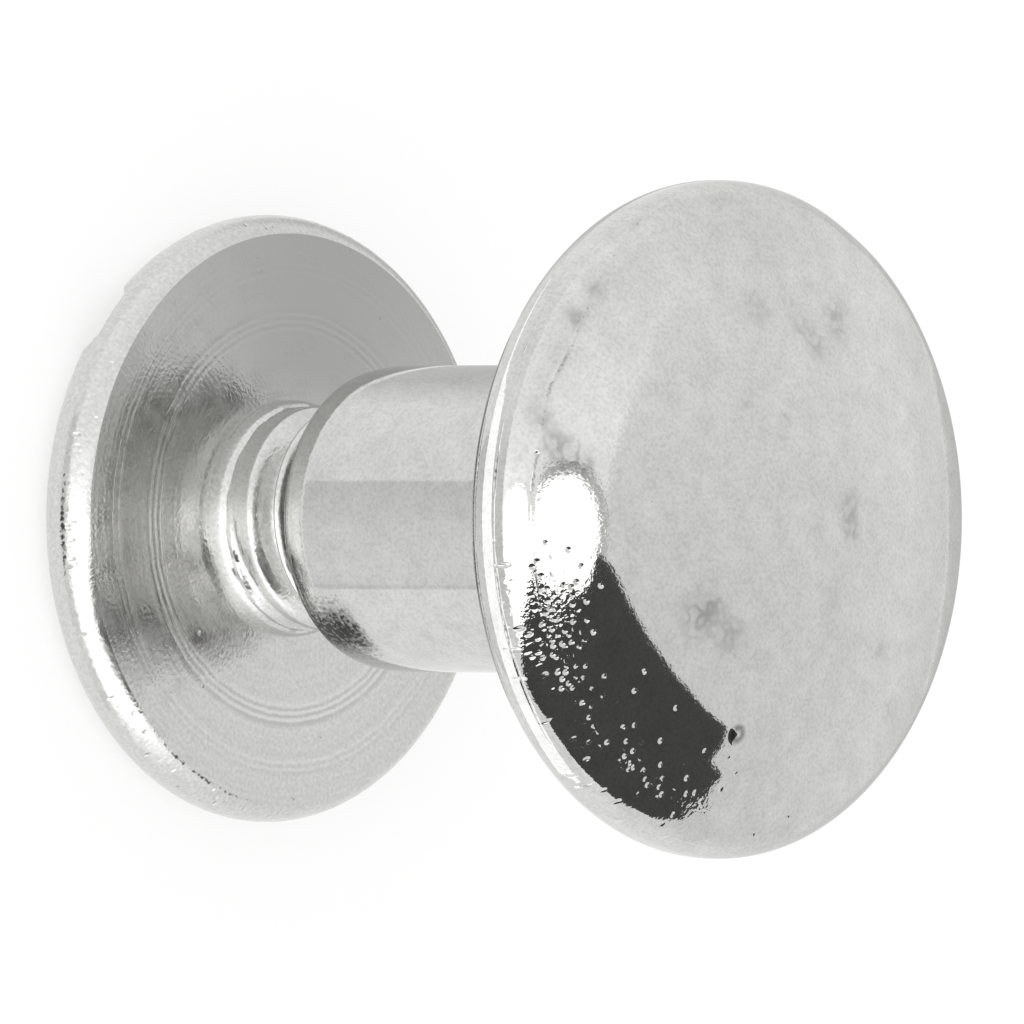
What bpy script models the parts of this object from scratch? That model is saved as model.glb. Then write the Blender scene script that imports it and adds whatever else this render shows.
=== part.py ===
"""Chicago screw: a domed post with a hollow barrel, and a slotted screw that turns into it.

The screw stands on the flat slotted face of its head. The post sits above it on the same
upright axis, a few turns short of being screwed home. Lengths are in metres and +Z is up.
"""

import math

import bmesh
import bpy
import numpy as np

MM = 0.001

# Thread of the shank, right-handed. Its groove starts a part of a turn round from +X, and
# its centre line, followed back to +X, is this far above the head.
THREAD_DIAMETER = 3.5 * MM
THREAD_PITCH = 0.6 * MM
THREAD_ANGLE = math.radians(60)
THREAD_HEIGHT_AT_X = 0.36 * MM
THREAD_START_TURN = 0.1
THREAD_RUNOUT_TURNS = 0.35

# Post: domed head, and a barrel with a plain hole that clears the thread's crests.
POST_HEAD_DIAMETER = 10.4 * MM
POST_RIM_RADIUS = 0.63 * MM
POST_RIM_LAND = 0.1 * MM
DOME_SLOPE = math.radians(24)
BARREL_WALL = 0.58 * MM
BARREL_LENGTH = 6.35 * MM
MOUTH_DROP = 0.09 * MM
MOUTH_TAPER = 0.6 * MM
MOUTH_CHAMFER = 0.25 * MM
HOLE_CLEARANCE = 0.05 * MM
HOLE_END_WALL = 0.95 * MM
DRILL_POINT = math.radians(118)

# Screw: slotted head, collar and shank. The head's rim is a single round. At its crisp edge
# with the inner face it still leans outwards, pointing up by SCREW_EDGE_ANGLE.
SCREW_HEAD_DIAMETER = 9.5 * MM
SCREW_HEAD_THICKNESS = 0.98 * MM
SCREW_EDGE_ANGLE = math.radians(64.5)
SLOT_WIDTH = 1.0 * MM
SLOT_DEPTH = 0.5 * MM
SLOT_CHAMFER = 0.3 * MM
COLLAR_SWELL = 0.1 * MM
COLLAR_HEIGHT = 0.28 * MM
TIP_CLEARANCE = 0.3 * MM

# The post at rest: turns still to make, and the gap left under its mouth once they are made.
OPEN_TURNS = 3.2
HOME_GAP = 0.15 * MM

# Margin by which a cutter passes the surface that it cuts.
CUTTER_MARGIN = 0.02 * MM

# Facets round a whole turn, along a quarter round, and from crown to edge of the dome.
ROUND_STEPS = 60
ARC_STEPS = 6
DOME_STEPS = 7

# Basic proportions of the thread.
CREST_FLAT = THREAD_PITCH / 8
THREAD_DEPTH = 0.6134 * THREAD_PITCH
FLANK_RISE = math.tan(THREAD_ANGLE / 2)

THREAD_RADIUS = THREAD_DIAMETER / 2
SCREW_HEAD_RADIUS = SCREW_HEAD_DIAMETER / 2
SCREW_RIM_RADIUS = SCREW_HEAD_THICKNESS / (1 + math.sin(SCREW_EDGE_ANGLE))
POST_HEAD_RADIUS = POST_HEAD_DIAMETER / 2
HOLE_RADIUS = THREAD_RADIUS + HOLE_CLEARANCE
BARREL_RADIUS = HOLE_RADIUS + BARREL_WALL
HOLE_DEPTH = BARREL_LENGTH - HOLE_END_WALL
SHANK_LENGTH = HOME_GAP + HOLE_DEPTH - TIP_CLEARANCE
MOUTH_HEIGHT = SCREW_HEAD_THICKNESS + HOME_GAP + OPEN_TURNS * THREAD_PITCH


def quarter_round(centre, half_width, half_height, start, end, steps=ARC_STEPS):
    """Points (x, z) along an ellipse from one angle to another, in degrees from +X."""
    angles = np.radians(np.linspace(start, end, steps + 1))
    x = centre[0] + half_width * np.cos(angles)
    z = centre[1] + half_height * np.sin(angles)
    return list(zip(x.tolist(), z.tolist()))


def post_profile():
    """Outline of the post from the crown of the dome down to the mouth and up the hole."""
    rim_centre = POST_HEAD_RADIUS - POST_RIM_RADIUS
    lower_rim = BARREL_LENGTH + POST_RIM_RADIUS
    upper_rim = lower_rim + POST_RIM_LAND
    dome_edge = rim_centre + POST_RIM_RADIUS * math.sin(DOME_SLOPE)
    dome_radius = dome_edge / math.sin(DOME_SLOPE)
    edge_height = upper_rim + POST_RIM_RADIUS * math.cos(DOME_SLOPE)
    dome_centre = edge_height - dome_radius * math.cos(DOME_SLOPE)
    edge_angle = 90 - math.degrees(DOME_SLOPE)

    dome = quarter_round((0, dome_centre), dome_radius, dome_radius, 90, edge_angle, DOME_STEPS)
    crown = (0.0, dome_centre + dome_radius)
    upper = quarter_round((rim_centre, upper_rim), POST_RIM_RADIUS, POST_RIM_RADIUS, edge_angle, 0)
    lower = quarter_round((rim_centre, lower_rim), POST_RIM_RADIUS, POST_RIM_RADIUS, 0, -90)
    mouth = quarter_round((BARREL_RADIUS - MOUTH_DROP, MOUTH_TAPER), MOUTH_DROP, MOUTH_TAPER, 0, -90)
    drill_tip = HOLE_DEPTH + HOLE_RADIUS / math.tan(DRILL_POINT / 2)
    hole = [
        (HOLE_RADIUS + MOUTH_CHAMFER, 0.0),
        (HOLE_RADIUS, MOUTH_CHAMFER),
        (HOLE_RADIUS, HOLE_DEPTH),
        (0.0, drill_tip),
    ]
    shoulder = [(BARREL_RADIUS, BARREL_LENGTH)]
    return [crown] + dome[1:] + upper[1:] + lower + shoulder + mouth + hole


def screw_profile():
    """Outline of the screw from the tip of the shank down to the slotted face."""
    tip = SCREW_HEAD_THICKNESS + SHANK_LENGTH
    chamfer = THREAD_DEPTH + CUTTER_MARGIN
    collar_centre = (THREAD_RADIUS, SCREW_HEAD_THICKNESS)
    rim_centre = (SCREW_HEAD_RADIUS - SCREW_RIM_RADIUS, SCREW_RIM_RADIUS)
    edge = math.degrees(SCREW_EDGE_ANGLE)
    shank = [
        (0.0, tip),
        (THREAD_RADIUS - chamfer, tip),
        (THREAD_RADIUS, tip - chamfer),
    ]
    collar = quarter_round(collar_centre, COLLAR_SWELL, COLLAR_HEIGHT, 90, 0)
    upper = quarter_round(rim_centre, SCREW_RIM_RADIUS, SCREW_RIM_RADIUS, edge, 0)
    lower = quarter_round(rim_centre, SCREW_RIM_RADIUS, SCREW_RIM_RADIUS, 0, -90)
    return shank + collar + upper + lower[1:] + [(0.0, 0.0)]


def turned(name, profile, collection):
    """Object made by turning an outline of (x, z) points once round the Z axis."""
    mesh = bpy.data.meshes.new(name)
    corners = [(x, 0.0, z) for x, z in profile]
    edges = [(i, i + 1) for i in range(len(corners) - 1)]
    mesh.from_pydata(corners, edges, [])
    obj = bpy.data.objects.new(name, mesh)
    collection.objects.link(obj)
    screw = obj.modifiers.new("Turn", "SCREW")
    screw.axis = "Z"
    screw.angle = math.tau
    screw.steps = ROUND_STEPS
    screw.render_steps = ROUND_STEPS
    screw.use_merge_vertices = True
    screw.merge_threshold = 0.001 * MM
    screw.use_smooth_shade = True
    return obj


def thread_cutter(name, collection):
    """Helical tool that cuts the groove of the thread.

    Its section is a trapezium in (radius, height), with its flat nose at the root of the
    thread and its wide back just outside the crests. It climbs one pitch a turn. Where it
    starts, the whole section is drawn outwards, so that the groove runs out towards the head.
    """
    depth = THREAD_DEPTH + CUTTER_MARGIN
    half_nose = (THREAD_PITCH - CREST_FLAT) / 2 - THREAD_DEPTH * FLANK_RISE
    half_back = half_nose + depth * FLANK_RISE
    root = THREAD_RADIUS - THREAD_DEPTH
    radii = np.array([root, root, root + depth, root + depth])
    heights = np.array([-half_nose, half_nose, half_back, -half_back])

    past_tip = (SHANK_LENGTH - THREAD_HEIGHT_AT_X) / THREAD_PITCH + 1
    steps = math.ceil((past_tip - THREAD_START_TURN) * ROUND_STEPS)
    turn = THREAD_START_TURN + np.arange(steps + 1) / ROUND_STEPS
    drawn_out = np.clip(1 - (turn - THREAD_START_TURN) / THREAD_RUNOUT_TURNS, 0, 1)
    angle = math.tau * turn[:, None]
    radius = radii[None, :] + depth * drawn_out[:, None]
    centre_height = SCREW_HEAD_THICKNESS + THREAD_HEIGHT_AT_X + THREAD_PITCH * turn[:, None]
    height = centre_height + heights[None, :]
    sections = np.stack([radius * np.cos(angle), radius * np.sin(angle), height], axis=2)
    return cutter_from(name, lofted(sections), collection)


def lofted(sections):
    """Closed mesh through a row of like sections, an array of (section, corner, xyz)."""
    shape = bmesh.new()
    rings = [[shape.verts.new(corner) for corner in section] for section in sections.tolist()]
    corners = len(rings[0])
    for ring, following in zip(rings, rings[1:]):
        for i in range(corners):
            j = (i + 1) % corners
            shape.faces.new([ring[i], ring[j], following[j], following[i]])
    shape.faces.new(rings[0])
    shape.faces.new(rings[-1])
    bmesh.ops.recalc_face_normals(shape, faces=shape.faces)
    return shape


def slot_cutter(name, collection):
    """Straight tool for the driver slot, flared at the face to break the slot's edges."""
    half_width = SLOT_WIDTH / 2
    flare = half_width + SLOT_CHAMFER + CUTTER_MARGIN
    section = [
        (-half_width, SLOT_DEPTH),
        (-half_width, SLOT_CHAMFER),
        (-flare, -CUTTER_MARGIN),
        (flare, -CUTTER_MARGIN),
        (half_width, SLOT_CHAMFER),
        (half_width, SLOT_DEPTH),
    ]
    ends = (-SCREW_HEAD_DIAMETER, SCREW_HEAD_DIAMETER)
    sections = np.array([[(x, y, z) for y, z in section] for x in ends])
    return cutter_from(name, lofted(sections), collection)


def cutter_from(name, shape, collection):
    """Wire-drawn helper object that holds a finished bmesh."""
    mesh = bpy.data.meshes.new(name)
    shape.to_mesh(mesh)
    shape.free()
    obj = bpy.data.objects.new(name, mesh)
    obj.hide_render = True
    obj.display_type = "WIRE"
    collection.objects.link(obj)
    return obj


def cut(obj, cutter):
    """Exact Boolean difference, left live on the object."""
    boolean = obj.modifiers.new(cutter.name, "BOOLEAN")
    boolean.operation = "DIFFERENCE"
    boolean.solver = "EXACT"
    boolean.object = cutter


def weigh_normals(obj):
    """Keeps the flat faces flat in shading beside the round ones."""
    modifier = obj.modifiers.new("Shading", "WEIGHTED_NORMAL")
    modifier.weight = 100


def plated(name, colour, roughness):
    """Bright plated metal."""
    material = bpy.data.materials.new(name)
    material.use_nodes = True
    shader = material.node_tree.nodes["Principled BSDF"]
    shader.inputs["Base Color"].default_value = (*colour, 1.0)
    shader.inputs["Metallic"].default_value = 1.0
    shader.inputs["Roughness"].default_value = roughness
    return material


def build_screw(parts, cutters):
    """Slotted head, collar and threaded shank, in one piece."""
    screw = turned("screw", screw_profile(), parts)
    cut(screw, slot_cutter("slot_cutter", cutters))
    cut(screw, thread_cutter("thread_cutter", cutters))
    weigh_normals(screw)
    screw.data.materials.append(plated("nickel_plated_screw", (0.66, 0.65, 0.62), 0.28))
    return screw


def build_post(screw, parts):
    """Domed head and hollow barrel in one piece, with its origin at the mouth."""
    post = turned("post", post_profile(), parts)
    post.parent = screw
    post.location = (0, 0, MOUTH_HEIGHT)
    weigh_normals(post)
    post.data.materials.append(plated("nickel_plated_post", (0.66, 0.65, 0.62), 0.18))


def main():
    for obj in list(bpy.data.objects):
        bpy.data.objects.remove(obj, do_unlink=True)
    parts = bpy.data.collections.new("chicago_screw")
    cutters = bpy.data.collections.new("cutters")
    cutters.hide_render = True
    for collection in (parts, cutters):
        bpy.context.scene.collection.children.link(collection)
    screw = build_screw(parts, cutters)
    build_post(screw, parts)


main()
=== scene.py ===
# %% [markdown]
# # A chicago screw in bright nickel plate
#
# A chicago screw holds leather, card or cloth without glue. It has two pieces: a post, with
# a domed head and a hollow barrel, and a screw, with a flat slotted head and a short threaded
# shank that turns into the barrel. Both are turned from steel and plated with nickel.
#
# Polished plate has almost no colour of its own. What we see in it is the room, so half of
# this lesson is about surfaces, and the other half is about what those surfaces reflect.

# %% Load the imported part
import math

import bmesh
import bpy
import numpy as np
from mathutils import Matrix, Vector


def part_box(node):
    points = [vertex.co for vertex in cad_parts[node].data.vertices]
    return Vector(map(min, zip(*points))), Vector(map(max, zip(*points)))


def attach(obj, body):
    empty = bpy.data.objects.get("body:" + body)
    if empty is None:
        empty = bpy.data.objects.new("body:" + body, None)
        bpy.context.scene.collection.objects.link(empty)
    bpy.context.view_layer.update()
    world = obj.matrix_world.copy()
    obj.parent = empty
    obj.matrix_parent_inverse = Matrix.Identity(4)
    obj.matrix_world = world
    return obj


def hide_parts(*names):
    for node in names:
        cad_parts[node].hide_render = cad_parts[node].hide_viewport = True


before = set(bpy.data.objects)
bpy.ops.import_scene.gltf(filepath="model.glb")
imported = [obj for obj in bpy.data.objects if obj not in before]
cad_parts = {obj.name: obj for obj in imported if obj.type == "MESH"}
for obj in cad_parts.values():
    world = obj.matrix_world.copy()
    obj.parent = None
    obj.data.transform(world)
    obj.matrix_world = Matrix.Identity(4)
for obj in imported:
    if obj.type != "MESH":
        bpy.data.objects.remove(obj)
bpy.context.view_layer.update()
print("nodes:", sorted(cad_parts))

# %% [markdown]
# ## Small helpers
#
# Colours are written as sRGB hex values, as a colour picker shows them. Shaders work in
# linear light, so one function turns them. A second function adds a shader node together
# with its settings and its links, which keeps every material a short list of steps.

# %% Units, colours and nodes
MM = 0.001


def linear(hex_colour):
    """Linear RGBA of a hex colour: c / 12.92 below 0.04045, else ((c + 0.055) / 1.055) ^ 2.4."""
    srgb = np.array([int(hex_colour[i:i + 2], 16) for i in (1, 3, 5)]) / 255
    light = np.where(srgb <= 0.04045, srgb / 12.92, ((srgb + 0.055) / 1.055) ** 2.4)
    return (*light.tolist(), 1.0)


def add(tree, kind, *inputs, **settings):
    """New shader node of a kind. Inputs are (socket, value) pairs, where a node or socket is linked."""
    node = tree.nodes.new("ShaderNode" + kind)
    for name, value in settings.items():
        setattr(node, name, value)
    for name, value in inputs:
        value = value.outputs[0] if isinstance(value, bpy.types.Node) else value
        if isinstance(value, bpy.types.NodeSocket):
            tree.links.new(value, node.inputs[name])
        else:
            node.inputs[name].default_value = value
    return node


# %% [markdown]
# ## Surfaces from whole arrays
#
# Both pieces were turned on a lathe, so both are a profile carried round an axis. We keep a
# profile as an array of (radius, height) points, in millimetres, and carry it round in one
# step: the point at angle a is (radius cos a, radius sin a, height). A profile is joined from
# a few stretches, nearly all of them arcs and straight lines.

# %% Profiles and turned surfaces
def around(centre, radius, degrees):
    """Points of a circle about a centre (r, z), at the given angles in degrees from +r."""
    angle = np.radians(degrees)
    return np.stack([centre[0] + radius * np.cos(angle), centre[1] + radius * np.sin(angle)], 1)


def arc(centre, radius, start, end, count):
    """Points of a circle, spaced evenly from one angle to another."""
    return around(centre, radius, np.linspace(start, end, count))


def line(start, end, count=2):
    """Points spaced evenly from one (r, z) to another."""
    share = np.linspace(0, 1, count)[:, None]
    return np.array(start) * (1 - share) + np.array(end) * share


def joined(*stretches):
    """One profile from several, without the points that two neighbours share."""
    points = np.concatenate(stretches)
    step = np.linalg.norm(np.diff(points, axis=0), axis=1)
    return points[np.concatenate([[True], step > 1e-6])]


def turned(profile, columns):
    """Grid (row, column, xyz) of a profile carried once round Z: (r cos a, r sin a, z)."""
    angle = np.arange(columns) * math.tau / columns
    radius = profile[:, :1]
    height = np.broadcast_to(profile[:, 1:], (len(profile), columns))
    return np.stack([radius * np.cos(angle), radius * np.sin(angle), height], 2)


def rings_of(grid, shift=0):
    """Faces between the rows of a grid, each row a ring.

    With a shift, a row's last column joins the first column that many rows further on, as
    rows do that climb along a helix.
    """
    rows, columns, _ = grid.shape
    index = np.arange(rows * columns).reshape(rows, columns)
    following = np.roll(index, -1, axis=1)
    following[:, -1] = np.minimum(np.arange(rows) + shift, rows - 1) * columns
    corners = [index[:-1], following[:-1], following[1:], index[1:]]
    return np.stack(corners, 2).reshape(-1, 4)


def solid(name, grids, shifts):
    """Mesh object over grids in millimetres, which meet end to end. The two open ends are closed."""
    starts = np.cumsum([0] + [grid.shape[0] * grid.shape[1] for grid in grids])
    faces = []
    for grid, shift, start in zip(grids, shifts, starts):
        faces += (rings_of(grid, shift) + start).tolist()
    points = np.concatenate([grid.reshape(-1, 3) for grid in grids])
    first = list(range(grids[0].shape[1]))
    last = list(range(len(points) - grids[-1].shape[1], len(points)))
    mesh = bpy.data.meshes.new(name)
    mesh.from_pydata((points * MM).tolist(), [], faces + [first, last])
    piece = bpy.data.objects.new(name, mesh)
    bpy.context.scene.collection.objects.link(piece)
    close_up(mesh)
    return piece


def close_up(mesh):
    """Merges points that coincide, drops faces that collapsed, and turns every face outwards."""
    shape = bmesh.new()
    shape.from_mesh(mesh)
    bmesh.ops.remove_doubles(shape, verts=shape.verts, dist=1e-5 * MM)
    bmesh.ops.recalc_face_normals(shape, faces=shape.faces)
    shape.to_mesh(mesh)
    open_edges = sum(not edge.is_manifold for edge in shape.edges)
    shape.free()
    print(mesh.name, "has", len(mesh.polygons), "faces and", open_edges, "open edges")


def shade(piece, sharp_degrees):
    """Smooth shading, broken where two faces meet at more than this angle."""
    piece.data.shade_smooth()
    piece.data.set_sharp_from_angle(angle=math.radians(sharp_degrees))


# %% [markdown]
# ## The post
#
# The profile starts at the crown of the dome, runs down its outer side to the mouth of the
# barrel, and goes up inside the hole to the point that the drill left. The dome is a very
# flat cap of a sphere whose edge slopes 24 degrees, and a full round rim meets it there.
#
# Where the dome meets the rim, the plate is cracked, and two hairlines run round the rim.
# They are narrower than the grid of a smooth surface, so the points of the profile crowd
# together near these places.

# %% Post profile
post_low, post_high = [np.array(corner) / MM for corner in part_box("post")]
HEAD_RADIUS = (post_high[0] - post_low[0]) / 2
MOUTH = post_low[2]
RIM_RADIUS = 0.63
RIM_LAND = 0.1
DOME_SLOPE = 24.0
BARREL_LENGTH = 6.35
BARREL_RADIUS = 2.38
NECK_FILLET = 0.08
MOUTH_DROP = 0.09
MOUTH_TAPER = 0.6
MOUTH_CHAMFER = 0.25
HOLE_RADIUS = 1.8
HOLE_DEPTH = 5.4
DRILL_POINT = 118.0

SHOULDER = MOUTH + BARREL_LENGTH
RIM_R = HEAD_RADIUS - RIM_RADIUS
DOME_RADIUS = RIM_R / math.sin(math.radians(DOME_SLOPE)) + RIM_RADIUS
RIM_Z = SHOULDER + RIM_RADIUS + RIM_LAND
DOME_Z = RIM_Z + (RIM_RADIUS - DOME_RADIUS) * math.cos(math.radians(DOME_SLOPE))
DOME_EDGE = 90 - DOME_SLOPE
HAIRLINES = (7.0, -24.0)


def bell(value, centre, width):
    """exp(-((value - centre) / width) ^ 2)."""
    return np.exp(-((value - centre) / width) ** 2)


def crowded(start, end, spots, reach, count, crowd=9):
    """Values from start to end whose steps shrink near spots, by 1 + crowd bell(v, spot, reach)."""
    fine = np.linspace(start, end, 4000)
    share = np.cumsum(1 + crowd * sum(bell(fine, spot, reach) for spot in spots))
    return np.interp(np.linspace(share[0], share[-1], count), share, fine)


def post_profile():
    """Crown, dome, rim, underside, barrel, mouth and hole, as one line of (radius, height)."""
    fillet = (BARREL_RADIUS + NECK_FILLET, SHOULDER - NECK_FILLET)
    taper = np.radians(np.linspace(0, 90, 14))
    mouth_r = BARREL_RADIUS - MOUTH_DROP * (1 - np.cos(taper))
    mouth_z = MOUTH + MOUTH_TAPER * (1 - np.sin(taper))
    tip = MOUTH + HOLE_DEPTH + HOLE_RADIUS / math.tan(math.radians(DRILL_POINT / 2))
    return joined(
        around((0, DOME_Z), DOME_RADIUS, crowded(90, DOME_EDGE, [DOME_EDGE], 0.5, 84)[1:]),
        around((RIM_R, RIM_Z), RIM_RADIUS, crowded(DOME_EDGE, 0, (DOME_EDGE, *HAIRLINES), 3.5, 62)),
        around((RIM_R, SHOULDER + RIM_RADIUS), RIM_RADIUS, crowded(0, -90, HAIRLINES, 4.0, 40)),
        line((RIM_R, SHOULDER), (BARREL_RADIUS + NECK_FILLET, SHOULDER), 8),
        arc(fillet, NECK_FILLET, 90, 180, 5),
        line((BARREL_RADIUS, SHOULDER - NECK_FILLET), (BARREL_RADIUS, MOUTH + MOUTH_TAPER), 32),
        np.stack([mouth_r, mouth_z], 1),
        line((HOLE_RADIUS + MOUTH_CHAMFER, MOUTH), (HOLE_RADIUS, MOUTH + MOUTH_CHAMFER), 3),
        line((HOLE_RADIUS, MOUTH + MOUTH_CHAMFER), (HOLE_RADIUS, MOUTH + HOLE_DEPTH), 8),
        line((HOLE_RADIUS, MOUTH + HOLE_DEPTH), (0.01, tip), 4),
    )


profile = post_profile()
print("post profile:", len(profile), "points, crown at", round(profile[0, 1], 3), "mm")

# %% [markdown]
# The crack wanders about the edge of the dome, and the hairlines fade in and out on their way
# round. Near the far side the rim has one shallow dent. All of them are the same step: a
# depth for each point of the grid, by which it moves along the surface's normal. The dent is
# given by its azimuth, spread and depth, and the crack by points (azimuth, radius).

# %% Post with its marks
POST_COLUMNS = 340
CRACK_DEPTH = 0.010
HAIRLINE_DEPTH = 0.014
DENT = (-77.0, 6.0, 0.02)
CRACK = np.array([
    (-40, 5.18), (-26, 5.15), (-18, 5.04), (-10, 4.94), (-3, 4.91), (2, 4.83), (7, 4.81),
    (12, 4.80), (18, 4.88), (30, 4.83), (38, 4.87), (48, 4.83), (66, 4.84),
])


def apart(angle, centre):
    """Signed difference of two directions in degrees, between -180 and 180."""
    return (angle - centre + 180) % 360 - 180


def ragged(angle, seed):
    """Uneven strength round a circle, from 0 to 1: a sum of cosines of whole wave numbers."""
    chance = np.random.default_rng(seed)
    waves = np.arange(1, 90)
    phase = chance.uniform(0, math.tau, len(waves))
    height = chance.normal(size=len(waves)) / np.sqrt(waves)
    total = (height * np.cos(np.radians(angle)[..., None] * waves + phase)).sum(-1)
    return 1 / (1 + np.exp(-2 * total / total.std()))


def cracked(radius, height, angle):
    """How much of the crack is at a point, from 0 to 1. It fades out past azimuths -22 and 58."""
    along = np.clip((angle + 32) / 10, 0, 1) * np.clip((66 - angle) / 8, 0, 1)
    seam = bell(radius, np.interp(angle, *CRACK.T), 0.028)
    return seam * along * (0.25 + 0.75 * ragged(angle, 5)) * (height > RIM_Z + 0.1)


def hairline(radius, height, angle, degrees, width=0.02):
    """How much of a hairline is at a point: a bell about an angle of the rim's round, times its run."""
    level = RIM_Z if degrees > 0 else SHOULDER + RIM_RADIUS
    spot = around((RIM_R, level), RIM_RADIUS, [degrees])[0]
    away = np.hypot(radius - spot[0], height - spot[1])
    return bell(away, 0, width) * (0.1 + 0.9 * bell(apart(angle, 44), 0, 34)) * ragged(angle, 7)


def post_relief(profile, angle):
    """Height of each grid point over the smooth surface, in millimetres."""
    radius, height = profile[:, :1], profile[:, 1:]
    relief = -CRACK_DEPTH * cracked(radius, height, angle)
    for degrees in HAIRLINES:
        relief = relief - HAIRLINE_DEPTH * hairline(radius, height, angle, degrees)
    towards, spread, depth = DENT
    edge = bell(radius, HEAD_RADIUS - 0.25, 0.3) * (height > RIM_Z)
    return relief - depth * edge * bell(apart(angle, towards), 0, spread)


def post_grid(profile):
    """Profile carried round the axis, each point moved by its relief along the profile's normal."""
    along = np.gradient(profile, axis=0)
    along /= np.linalg.norm(along, axis=1, keepdims=True)
    angle = np.arange(POST_COLUMNS) * math.tau / POST_COLUMNS
    relief = post_relief(profile, apart(np.degrees(angle), 0))
    radius = profile[:, :1] - along[:, 1:] * relief
    height = profile[:, 1:] + along[:, :1] * relief
    return np.stack([radius * np.cos(angle), radius * np.sin(angle), height], 2)


post = solid("post_body", [post_grid(profile)], [0])
shade(post, 40)
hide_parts("post")
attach(post, "post")

# %% [markdown]
# ## The screw
#
# A thread is a profile too, but one that climbs while it turns. We lay the rows of the grid
# along the helix: a row rises by one pitch in a whole turn, so its end meets the row that
# started one pitch higher. The edges of the thread then follow the grid lines and stay
# crisp. Heights are clipped to the shank's two ends, where the rows close up into circles.

# %% Screw
screw_low, screw_high = [np.array(corner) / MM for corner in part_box("screw")]
SCREW_COLUMNS = 240
FACE_RADIUS = (screw_high[0] - screw_low[0]) / 2
TIP = screw_high[2]
FACE_TOP = 0.98
EDGE_ANGLE = 64.5
EDGE_BREAK = 0.03
FACE_RIM = FACE_TOP / (1 + math.sin(math.radians(EDGE_ANGLE)))
THREAD_RADIUS = 1.75
PITCH = 0.6
THREAD_DEPTH = 0.6134 * PITCH
CREST = PITCH / 8
FLANK_RISE = math.tan(math.radians(30))
THREAD_HEIGHT_AT_X = 0.36
START_TURN = 0.1
RUNOUT_TURNS = 0.35
COLLAR_SWELL = 0.1
COLLAR_HEIGHT = 0.28
TIP_CHAMFER = THREAD_DEPTH + 0.02
THREAD_WEAR = 0.03
ROWS_PER_PITCH = 18


def soft_floor(value, width):
    """The larger of value and 0 with a rounded corner: width log(1 + exp(value / width))."""
    return width * np.logaddexp(0, value / width)


def groove_depth(away):
    """Depth below the crests at a distance from the groove's middle line, with worn corners."""
    flank = ((PITCH - CREST) / 2 - np.abs(away)) / FLANK_RISE
    below_crest = soft_floor(flank, THREAD_WEAR)
    return THREAD_DEPTH - soft_floor(THREAD_DEPTH - below_crest, THREAD_WEAR)


def shank_grid():
    """Rows that climb: z = start + pitch a / 2 pi, clipped, and r = crest radius - depth there."""
    rows = math.ceil((TIP - FACE_TOP) / PITCH + 1) * ROWS_PER_PITCH + 1
    start = FACE_TOP - PITCH + np.arange(rows)[:, None] * PITCH / ROWS_PER_PITCH
    turn = np.arange(SCREW_COLUMNS)[None, :] / SCREW_COLUMNS
    z = np.clip(start + PITCH * turn, FACE_TOP, TIP)
    pitches = (z - FACE_TOP - THREAD_HEIGHT_AT_X) / PITCH - turn
    groove = np.round(pitches)
    run = np.clip((groove + turn - START_TURN) / RUNOUT_TURNS, 0, 1)
    depth = groove_depth((pitches - groove) * PITCH) - THREAD_DEPTH * (1 - run)
    collar = np.clip((z - FACE_TOP) / COLLAR_HEIGHT, 0, 1)
    r = THREAD_RADIUS - np.maximum(depth, 0) + COLLAR_SWELL * np.sqrt(1 - collar ** 2)
    r = np.minimum(r, THREAD_RADIUS - TIP_CHAMFER + TIP - z)
    angle = math.tau * turn
    return np.stack([r * np.cos(angle), r * np.sin(angle), z], 2)


def head_profile():
    """Slotted face from the axis outwards, rim, broken edge, and inner face in to the collar.

    The rim is one round of FACE_RIM that the broken edge's smaller round touches from inside.
    """
    rim = (FACE_RADIUS - FACE_RIM, FACE_RIM)
    rise = FACE_TOP - EDGE_BREAK - FACE_RIM
    across = math.sqrt((FACE_RIM - EDGE_BREAK) ** 2 - rise ** 2)
    meeting = math.degrees(math.atan2(rise, across))
    edge = (rim[0] + across, FACE_TOP - EDGE_BREAK)
    return joined(
        line((0.02, 0), (rim[0], 0), 24),
        arc(rim, FACE_RIM, -90, meeting, 46),
        arc(edge, EDGE_BREAK, meeting, 90, 6),
        line((edge[0], FACE_TOP), (THREAD_RADIUS + COLLAR_SWELL, FACE_TOP), 50),
    )


head_grid = turned(head_profile(), SCREW_COLUMNS)
screw = solid("screw_body", [head_grid, shank_grid()], [0, ROWS_PER_PITCH])

# %% [markdown]
# ## The driver slot
#
# The slot was milled straight across the face, and tumbling then rounded its edges. The tool
# that we cut it with is a section in (y, z) carried along X. Its flared lips follow the
# face and the rim, so that the edge is broken by the same amount all along.

# %% Slot
SLOT_WIDTH = 1.0
SLOT_DEPTH = 0.5
SLOT_LIP = (0.36, 0.46)
SLOT_CORNER = 0.08
SLOT_MARGIN = 0.02


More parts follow.
